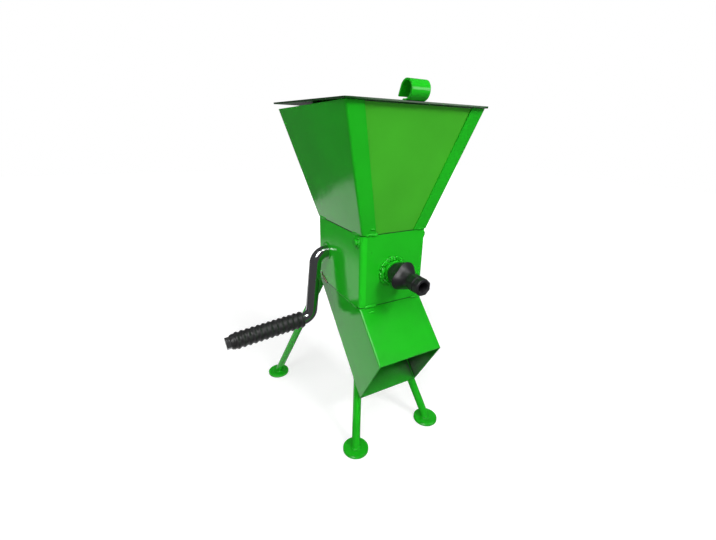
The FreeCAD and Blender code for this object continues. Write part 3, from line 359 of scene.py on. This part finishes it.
def plastic_finish():
    """Moulded black plastic with a fine grain."""
    t = Finish("knob_plastic", 900, (160, 3, 0.3, 0.7), (0.008, 0.008, 0.009),
               (0.016, 0.016, 0.018))
    return t.done(Base_Color=t.colour, Roughness=0.42,
                  Normal=t.bump(t.grain, 0.15, 0.0002, t.soft_edges(0.0006)))


def steel_finish(name, colour, smooth, dull):
    """Bare or zinc-plated steel with turning marks."""
    t = Finish(name, 600, (70, 4, 0.3, 0.7), [c * 0.8 for c in colour], colour,
               (120, 4, smooth, dull))
    return t.done(Base_Color=t.colour, Metallic=1.0, Roughness=t.roughness,
                  Normal=t.bump(t.grain, 0.12, 0.0003, t.soft_edges(0.0004)))


PAINT = paint_finish("green_gloss")
RUBBER = rubber_finish()
PLASTIC = plastic_finish()
ZINC = steel_finish("zinc_steel", (0.62, 0.63, 0.66), 0.22, 0.35)
BARE_WELD = steel_finish("bare_weld", (0.62, 0.50, 0.38), 0.45, 0.6)

BY_NODE = {
    "hopper_front_panel": paint_finish("green_gloss_panel", (0.055, 0.44, 0.020)),
    # Chute: painted shade in its recesses.
    "chute_shell": paint_finish("green_gloss_chute", recess_shade=0.2),
    # Body: painted highlight at its front-left corner and painted shade bands at the two seams.
    "body_shell": paint_finish("green_gloss_body", lit_edge_x=(9 - BODY_SIDE) * MM,
                               seams=((BODY_HIGH - 0.3) * MM, (BODY_LOW + 0.3) * MM)),
    # Lid: painted shade on its vertical edge faces.
    "lid_plate": paint_finish("green_gloss_lid", shade_rims=True)}
BY_SLOT = {
    "green_paint": PAINT, "crank_chrome": chrome_finish(), "grip_rubber": RUBBER,
    "black_plastic": PLASTIC, "zinc_steel": ZINC,
    "tool_steel": steel_finish("tool_steel", (0.36, 0.36, 0.37), 0.28, 0.45),
    "dark_screw": steel_finish("dark_screw", (0.05, 0.05, 0.055), 0.3, 0.45)}


def dress_cad_nodes():
    """Give every CAD node the material of its slot."""
    slots = {part["node"]: part["material_slot"] for part in frame["record"]["subparts"]}
    for name, node in nodes.items():
        node.data.materials.clear()
        node.data.materials.append(BY_NODE.get(name, BY_SLOT[slots[name]]))


# Mesh tools; a piece is modelled in millimetres
def add_piece(name, work, material, body, replaces=(), crease=50):
    """Make a bmesh a piece that rides on a body, smooth up to the crease angle."""
    bmesh.ops.scale(work, vec=(MM, MM, MM), verts=work.verts)
    bmesh.ops.recalc_face_normals(work, faces=work.faces)
    mesh = bpy.data.meshes.new(name)
    work.to_mesh(mesh)
    work.free()
    mesh.shade_smooth()
    mesh.set_sharp_from_angle(angle=math.radians(crease))
    mesh.materials.append(material)
    piece = bpy.data.objects.new(name, mesh)
    bpy.context.scene.collection.objects.link(piece)
    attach(piece, body)
    if replaces:
        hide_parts(*replaces)


def turned(start, axis, profile, steps, side=None, form=None):
    """Closed shell spun from (distance, radius) pairs that start and end on the axis.

    form(distance, radius, angle) gives the radius that a point of the round shell gets.
    """
    side = side or axis.orthogonal().normalized()
    other = axis.cross(side)
    work = bmesh.new()
    outline = [work.verts.new(start + axis * along + side * radius) for along, radius in profile]
    lines = [work.edges.new(pair) for pair in zip(outline, outline[1:])]
    bmesh.ops.spin(work, geom=outline + lines, cent=start, axis=axis, angle=2 * math.pi,
                   steps=steps, use_merge=True)
    bmesh.ops.remove_doubles(work, verts=work.verts, dist=SAME_SPOT)
    for vert in work.verts if form else ():
        reach = vert.co - start
        along = reach.dot(axis)
        outward = reach - axis * along
        if outward.length > 1e-3:
            angle = math.atan2(outward.dot(other), outward.dot(side)) % (2 * math.pi)
            radius = form(along, outward.length, angle)
            vert.co += outward * (radius / outward.length - 1)
    return work


def evenly(points, step, closed):
    """Points at even steps along a polyline, and its length."""
    points = [Vector(p) for p in points]
    if closed:
        points.append(points[0])
    lengths = [0.0]
    for a, b in zip(points, points[1:]):
        lengths.append(lengths[-1] + (b - a).length)
    count = max(3, round(lengths[-1] / step))
    spots, at = [], 0
    for i in range(count if closed else count + 1):
        along = lengths[-1] * i / count
        while at < len(lengths) - 2 and lengths[at + 1] < along:
            at += 1
        share = (along - lengths[at]) / max(lengths[at + 1] - lengths[at], 1e-9)
        spots.append(points[at].lerp(points[at + 1], share))
    return spots, lengths[-1]


class Beads:
    """Weld beads collected into one mesh."""

    def __init__(self):
        self.work = bmesh.new()

    def take(self, bead):
        """Join a finished bead to the others."""
        mesh = bpy.data.meshes.new("bead")
        bead.to_mesh(mesh)
        bead.free()
        self.work.from_mesh(mesh)
        bpy.data.meshes.remove(mesh)

    def run(self, points, out, wide, high, seed, closed=False, ripple=1.9, rough=1.0):
        """Rippled bead along a path; out is a direction or a function of the point."""
        spots, length = evenly(points, 0.6, closed)
        count, places = len(spots), []
        for i, spot in enumerate(spots):
            after = spots[(i + 1) % count] if closed or i < count - 1 else spot
            before = spots[i - 1] if closed or i else spot
            along = (after - before).normalized()
            up = Vector(out(spot) if callable(out) else out)
            side = along.cross(up).normalized()
            up = side.cross(along)
            at = length * i / count
            wobble = noise.noise(Vector((at * 0.16, seed, 0.3)))
            lump = noise.noise(Vector((at * 0.42, seed, 7.1)))
            size = 1 + 0.13 * math.sin(2 * math.pi * at / ripple + 3 * wobble) + 0.38 * rough * lump
            if not closed:
                near = min(at, length - at) / wide
                if near < 1:
                    size *= max(0.12, math.sqrt(max(0.0, 1 - (1 - near) ** 2)))
            centre = spot + side * (wide * 0.45 * rough * wobble)
            turn = Matrix((up * high * size, side * wide * size, along)).transposed().to_4x4()
            places.append(Matrix.Translation(centre) @ turn)
        bead = bmesh.new()
        ring = bmesh.ops.create_circle(bead, cap_ends=not closed, segments=10, radius=1,
                                       matrix=places[0])["verts"]
        edges = list({edge for vert in ring for edge in vert.link_edges})
        for last, place in zip(places, places[1:] + (places[:1] if closed else [])):
            grown = bmesh.ops.extrude_edge_only(bead, edges=edges)["geom"]
            ring = {item for item in grown if isinstance(item, bmesh.types.BMVert)}
            edges = [item for item in grown
                     if isinstance(item, bmesh.types.BMEdge) and ring.issuperset(item.verts)]
            bmesh.ops.transform(bead, matrix=place @ last.inverted(), verts=list(ring))
        if closed:
            bmesh.ops.remove_doubles(bead, verts=bead.verts, dist=SAME_SPOT)
        else:
            bmesh.ops.edgeloop_fill(bead, edges=edges)
        self.take(bead)

    def drop(self, centre, out, wide, high, seed):
        """Spatter: a low round drop."""
        tilts = [math.pi / 8 * ring for ring in range(5)]
        profile = [(high * math.cos(tilt), wide * math.sin(tilt)) for tilt in tilts] + [(0, 0)]

        def uneven(_, radius, angle):
            lump = noise.noise(Vector((math.cos(angle), math.sin(angle), seed)))
            return radius * (1 + 0.25 * lump)

        self.take(turned(Vector(centre), Vector(out).normalized(), profile, 10, form=uneven))

    def finish(self, name, body="root", replaces=(), material=PAINT):
        """Make the beads one piece."""
        add_piece(name, self.work, material, body, replaces, 80)


# Knob, screw and grip
def add_knob():
    """Black three-lobed knob on a cone, with a waist and an eight-sided, hollow end."""
    nut_end, widest, waist = 7.9, 24.9, 42.1
    lobe_turn, lobe_depth = math.radians(200), 0.20
    eighth, rounded_corner = math.pi / 4, 1.062
    profile = [(8, 0), (7.0, 6.9), (7.0, 12.4), (7.25, 13.1), (nut_end, 13.6)]
    profile += [(nut_end + (widest - nut_end) * t, 13.6 + 5.7 * t ** 0.9)
                for t in (0.15, 0.3, 0.45, 0.6, 0.75, 0.9)]
    profile += [(24.6, 19.1), (25.3, 19.9), (26.0, 20.35), (26.8, 20.5), (27.6, 20.4),
                (28.3, 20.0), (28.8, 19.3)]
    profile += [(28.8 + (waist - 28.8) * t, 9.9 + 9.4 * (1 - t) ** 1.5)
                for t in (0.08, 0.17, 0.27, 0.38, 0.5, 0.62, 0.75, 0.88, 1.0)]
    profile += [(42.5, 9.9), (42.8, 10.1), (43.4, 10.35), (54.0, 10.35), (54.4, 10.0),
                (54.6, 9.3), (55.9, 9.3), (56.1, 10.0), (56.5, 10.35), (63.4, 10.35),
                (64.1, 10.15), (64.5, 9.7), (64.5, 7.6), (64.2, 7.05), (63.6, 6.8),
                (51.2, 6.5), (50.5, 5.6), (50.5, 0)]

    def lobes_and_flats(along, radius, angle):
        """Three lobes on the head and flats on the end; the bar and the hollow stay round."""
        if along < waist + 0.1 and radius > 9.5:
            head = min(1.0, max(0.0, (along - 9) / 12)) * min(1.0, max(0.0, (42 - along) / 10))
            valley = 0.5 - 0.5 * math.cos(3 * (angle - lobe_turn))
            return radius * (1 - lobe_depth * head * valley ** 1.4)
        if radius < 9.2:
            return radius
        turn = math.fmod(angle + eighth / 2, eighth) - eighth / 2
        return min(radius / math.cos(turn), radius * rounded_corner)

    knob = turned(ADJUSTER - Vector((0, BODY_FACE, 0)), Vector((0, -1, 0)), profile, 96,
                  Vector((1, 0, 0)), lobes_and_flats)
    add_piece("moulded_knob", knob, PLASTIC, "adjuster", ("adjuster_knob",), 40)


def add_screw():
    """Adjuster screw with its thread of 2 mm pitch."""
    tip, shoulder, end = -31.95, -36.95, -90.0
    pitch, depth, step = 2, 0.75, 0.2
    profile = [(0, 0), (0, 4.6), (0.4, 5.0), (5.0, 5.0), (5.0, 5.9)]
    profile += [(5.2 + step * i, 6.95) for i in range(int((shoulder - end) / step))]
    profile += [(tip - end, 6.2), (tip - end, 0)]

    def flank(along, radius, angle):
        """V-shaped groove that climbs one pitch in a turn."""
        if radius < 6.9:
            return radius
        phase = (along / pitch + angle / (2 * math.pi)) % 1
        return radius - depth * min(1.0, max(0.0, 1.35 - abs(phase - 0.5) * 3.2))

    screw = turned(Vector((0, tip, ADJUSTER.z)), Vector((0, -1, 0)), profile, 40,
                   Vector((1, 0, 0)), flank)
    add_piece("threaded_screw", screw, ZINC, "adjuster", ("adjuster_screw",), 30)


def add_grip():
    """Rubber sleeve with thirteen rounded ribs and a tapered outer end."""
    droop = math.radians(5.5)
    axis = Vector((-math.cos(droop), 0, -math.sin(droop)))
    near, far, ribs, groove = 13.48, 123.48, 13, 11.2
    pitch = (far - near - 5.6) / ribs
    profile = [(near + 3, 0), (near, 8.9), (near, 10.4), (near + 0.3, 11.4), (near + 0.9, 12.0)]
    for i in range(ribs):
        for share, rise in ((0.06, 0.75), (0.16, 1.3), (0.28, 1.62), (0.40, 1.7), (0.50, 1.45),
                            (0.58, 0.8), (0.66, 0.25), (0.76, 0.03), (0.88, 0.05), (0.96, 0.3)):
            profile.append((near + 1.2 + (i + share) * pitch, groove + rise))
    profile += [(far - 4.1, 11.6), (far - 3.3, 11.2), (far - 1.4, 10.7), (far - 0.5, 10.3),
                (far, 9.6), (far, 8.9), (far - 3, 0)]
    add_piece("ribbed_grip", turned(HAND_CORNER, axis, profile, 64), RUBBER,
              "crank", ("crank_grip",), 60)


# Welds
def circle_points(centre, side, other, radius, first=0.0, last=360.0, count=48):
    """Points on an arc; closed arcs leave out the last point."""
    span = last - first
    steps = count if span >= 360 else count + 1
    return [Vector(centre) + (Vector(side) * math.cos(a) + Vector(other) * math.sin(a)) * radius
            for a in (math.radians(first + span * i / count) for i in range(steps))]


def bar_cut(through, axis, plane_point, normal, radius=6.0):
    """Outline of a round bar where it meets a plane."""
    axis, normal = Vector(axis).normalized(), Vector(normal)
    side = axis.orthogonal().normalized()
    return [spot + axis * ((Vector(plane_point) - spot).dot(normal) / axis.dot(normal))
            for spot in circle_points(through, side, axis.cross(side), radius, count=40)]


def away_from(centre, normal, lift=1.0):
    """Outward direction of a fillet bead round a centre."""
    centre, normal = Vector(centre), Vector(normal)
    return lambda spot: ((spot - centre) - normal * (spot - centre).dot(normal)
                         ).normalized() + normal * lift


def add_nut_weld():
    """Wandering bead round the nut on the front wall."""
    beads = Beads()
    wall = Vector((0, -BODY_FACE - 0.6, ADJUSTER.z))
    x, z = Vector((1, 0, 0)), Vector((0, 0, 1))
    out = away_from(wall, (0, -1, 0), 1.6)
    beads.run(circle_points(wall, x, z, 17.0, count=90), out, 2.3, 2.9, 3.7, closed=True,
              rough=1.6)
    for radius, first, last, count, wide, high, seed, rough in (
            (19.6, 96, 168, 40, 2.0, 2.6, 11.2, 1.7), (20.0, 176, 232, 30, 1.7, 2.2, 14.6, 1.7),
            (18.2, 18, 92, 30, 1.7, 2.9, 5.4, 1.5), (19.8, 300, 350, 20, 1.3, 1.5, 8.8, 1.0)):
        beads.run(circle_points(wall, x, z, radius, first, last, count), out, wide, high, seed,
                  rough=rough)
    for turn, reach, wide in ((150, 21.0, 2.0), (118, 20.6, 1.7), (63, 18.6, 1.8),
                              (196, 20.8, 1.6)):
        angle = math.radians(turn)
        beads.drop(wall + (x * math.cos(angle) + z * math.sin(angle)) * reach, (0, -1, 0),
                   wide, wide * 1.5, turn)
    beads.finish("nut_weld", replaces=("adjuster_weld",))


def add_front_seam_beads(beads):
    """Short beads on the front wall, where the hopper and the chute meet the body."""
    y = -BODY_FACE - 0.3
    for points, wide, high, seed in (
            (((-45, y, 314.4), (-38, y - 0.3, 314.9), (-27, y, 314.2)), 2.1, 1.7, 1.1),
            (((-40, y - 2.6, 322.6), (-33, y - 2.4, 321.4)), 1.5, 1.3, 2.3),
            (((-42, y - 1.0, 318.4), (-37, y - 0.4, 316.4)), 1.2, 1.2, 9.4),
            (((36, y, 314.3), (42, y - 0.3, 315.2), (46.5, y, 314.5)), 1.9, 1.6, 4.9),
            (((40, y - 1.4, 320.6), (44.5, y - 1.2, 319.4)), 1.3, 1.2, 6.0),
            (((-43, y, 214.6), (-36, y, 215.2), (-25, y, 214.2)), 1.7, 1.5, 12.0),
            (((33, y, 214.3), (40, y, 214.8), (46, y, 214.0)), 1.7, 1.5, 14.1)):
        beads.run(points, (0, -1, 0.25), wide, high, seed)
    beads.run([(-40, y - 4.2, 208.6), (-31, y - 4.6, 208.2)], (0, -0.7, 0.7), 1.6, 1.4, 13.5)
    for x, z, wide in ((24.9, 284.0, 0.9), (-34.5, 290.4, 0.8), (8, 232, 0.6), (-22, 236, 0.7),
                       (31, 301, 0.6), (-8, 296, 0.5), (38, 246, 0.6)):
        beads.drop((x, -BODY_FACE, z), (0, -1, 0), wide, wide * 0.55, x)


def add_other_seam_beads(beads):
    """Beads along the seams of the side walls and of the back wall."""
    for first, last, z, wide, high, seed in (
            (4, -58, LOW_SEAM, 1.3, 0.8, 15.3), (60, 40, HIGH_SEAM, 1.5, 1.0, 16.6),
            (-60, -44, HIGH_SEAM, 1.5, 1.0, 17.2)):
        beads.run([(-BODY_SIDE, first, z), (-BODY_SIDE, last, z)], (-1, 0, 0.2), wide, high, seed)
    for first, last in ((-58, -40), (-6, 10), (42, 60)):
        for z, seed in ((HIGH_SEAM, first), (LOW_SEAM, last)):
            beads.run([(BODY_SIDE, first, z), (BODY_SIDE, last, z)], (1, 0, 0.2), 1.6, 1.1, seed)
    for first, last in ((-44, -28), (-8, 8), (28, 44)):
        beads.run([(first, BODY_FACE, HIGH_SEAM + 0.1), (last, BODY_FACE, HIGH_SEAM + 0.1)],
                  (0, 1, 0.2), 1.7, 1.2, first + 3)


def add_bush_and_pin_beads(beads, side):
    """Half a ring round the shaft's bush and a ring round the end of the jaw's pin."""
    y, z, wall = (0, 1, 0), (0, 0, 1), Vector((side * BODY_SIDE, 0, 0))
    bush, pin = SHAFT + wall, JAW_PIN + wall
    beads.run(circle_points(bush, y, z, 12.6, 10, 128, 24), away_from(bush, (side, 0, 0), 1.3),
              1.5, 1.5, 18.0 + side)
    beads.run(circle_points(pin, y, z, 5.6, count=24), away_from(pin, (side, 0, 0), 1.6),
              1.9, 2.3, 21.0 + side, closed=True)


def add_foot_beads(beads, foot, lean, seed):
    """Bead round a leg where it stands on its disc, with a few drops beside it."""
    beads.run(bar_cut(foot, lean, foot, (0, 0, 1)), away_from(foot, (0, 0, 1), 1.1), 1.5, 1.5,
              seed, closed=True)
    for k in range(3):
        angle = seed * 1.7 + 2.1 * k
        spot = foot + Vector((math.cos(angle), math.sin(angle), 0)) * (10.5 + 2.2 * k)
        beads.drop(spot, (0, 0, 1), 0.9, 0.5, seed + k)


def add_leg_beads(beads, side):
    """Beads at both ends of a front leg and of a back leg."""
    foot = Vector((side * FRONT_FOOT[0], FRONT_FOOT[1], FOOT_THICK))
    lean = (-side * 0.25, 0.42, 1)
    add_foot_beads(beads, foot, lean, 22.0 + side)
    under_chute = (0, math.cos(CHUTE_SLOPE), -math.sin(CHUTE_SLOPE))
    joint = bar_cut(foot, lean, (0, BODY_FACE, BODY_LOW), under_chute)
    middle = sum(joint, Vector()) / len(joint)
    beads.run(joint, away_from(middle, under_chute), 1.5, 1.4, 25.0 + side, closed=True)
    foot = Vector((side * BACK_FOOT[0], BACK_FOOT[1], FOOT_THICK))
    top = Vector((side * BACK_LEG_SIDE, BODY_FACE, BODY_LOW))
    add_foot_beads(beads, foot, top - foot, 28.0 + side)
    joint = [p for p in bar_cut(foot, top - foot, (0, BODY_FACE, 0), (0, 1, 0))
             if p.z > BODY_LOW + 0.5]
    joint.sort(key=lambda p: p.x)
    beads.run(joint, away_from(top + Vector((0, 0, 8)), (0, 1, 0)), 1.5, 1.4, 31.0 + side)


def add_frame_welds():
    """Beads that hold the sheets, the legs, the feet and the hinge together."""
    beads = Beads()
    add_front_seam_beads(beads)
    add_other_seam_beads(beads)
    for side in LEFT_RIGHT:
        add_bush_and_pin_beads(beads, side)
        add_leg_beads(beads, side)
        # Both edges of the strap that holds a hinge knuckle to the back panel
        for x, outwards in ((16.5, -1), (39.0, 1)):
            beads.run([(side * x, 98.6, 447.5), (side * x, 101.6, 460.0)],
                      (side * outwards, 0.8, 0), 1.0, 0.9, 33.0 + x)
    beads.finish("frame_welds")


def add_chute_fillet():
    """Sealing bead in the chute, between its floor and its right wall."""
    beads = Beads()
    along = Vector((0, -math.sin(CHUTE_SLOPE), -math.cos(CHUTE_SLOPE)))
    start = Vector((47.2, 61.9, BODY_LOW + 0.4))
    beads.run([start + along * reach for reach in (120, 160, 195)], (-0.6, -0.57, 0.57), 0.9,
              0.9, 61.0, ripple=5.0, rough=0.4)
    beads.finish("chute_fillet")


def add_bare_weld():
    """Unpainted bead where the back left leg meets the body."""
    beads = Beads()
    x = -BODY_SIDE
    beads.run([(x + 0.3, 52, 221), (x - 0.4, 46, 216.5), (x, 38, 214.5)], (-1, 0.3, 0), 2.1, 1.6,
              51.0)
    beads.run([(x + 0.5, 57, 226), (x, 55, 219)], (-1, 0.3, 0), 1.6, 1.3, 52.5)
    beads.finish("bare_weld", material=BARE_WELD)


def add_handle_weld():
    """Bead across the flat start of the rolled handle."""
    beads = Beads()
    low_x, high_x = (corner[0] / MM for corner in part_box("lid_handle"))
    beads.run([(low_x + 0.5, -98.6, 464.2), (high_x - 0.5, -98.6, 464.2)], (0, 0.5, 1), 1.6, 1.3,
              41.0)
    beads.finish("handle_weld", body="lid")


add_camera()
add_studio()
dress_cad_nodes()
add_knob()
add_screw()
add_grip()
add_nut_weld()
add_frame_welds()
add_bare_weld()
add_chute_fillet()
add_handle_weld()
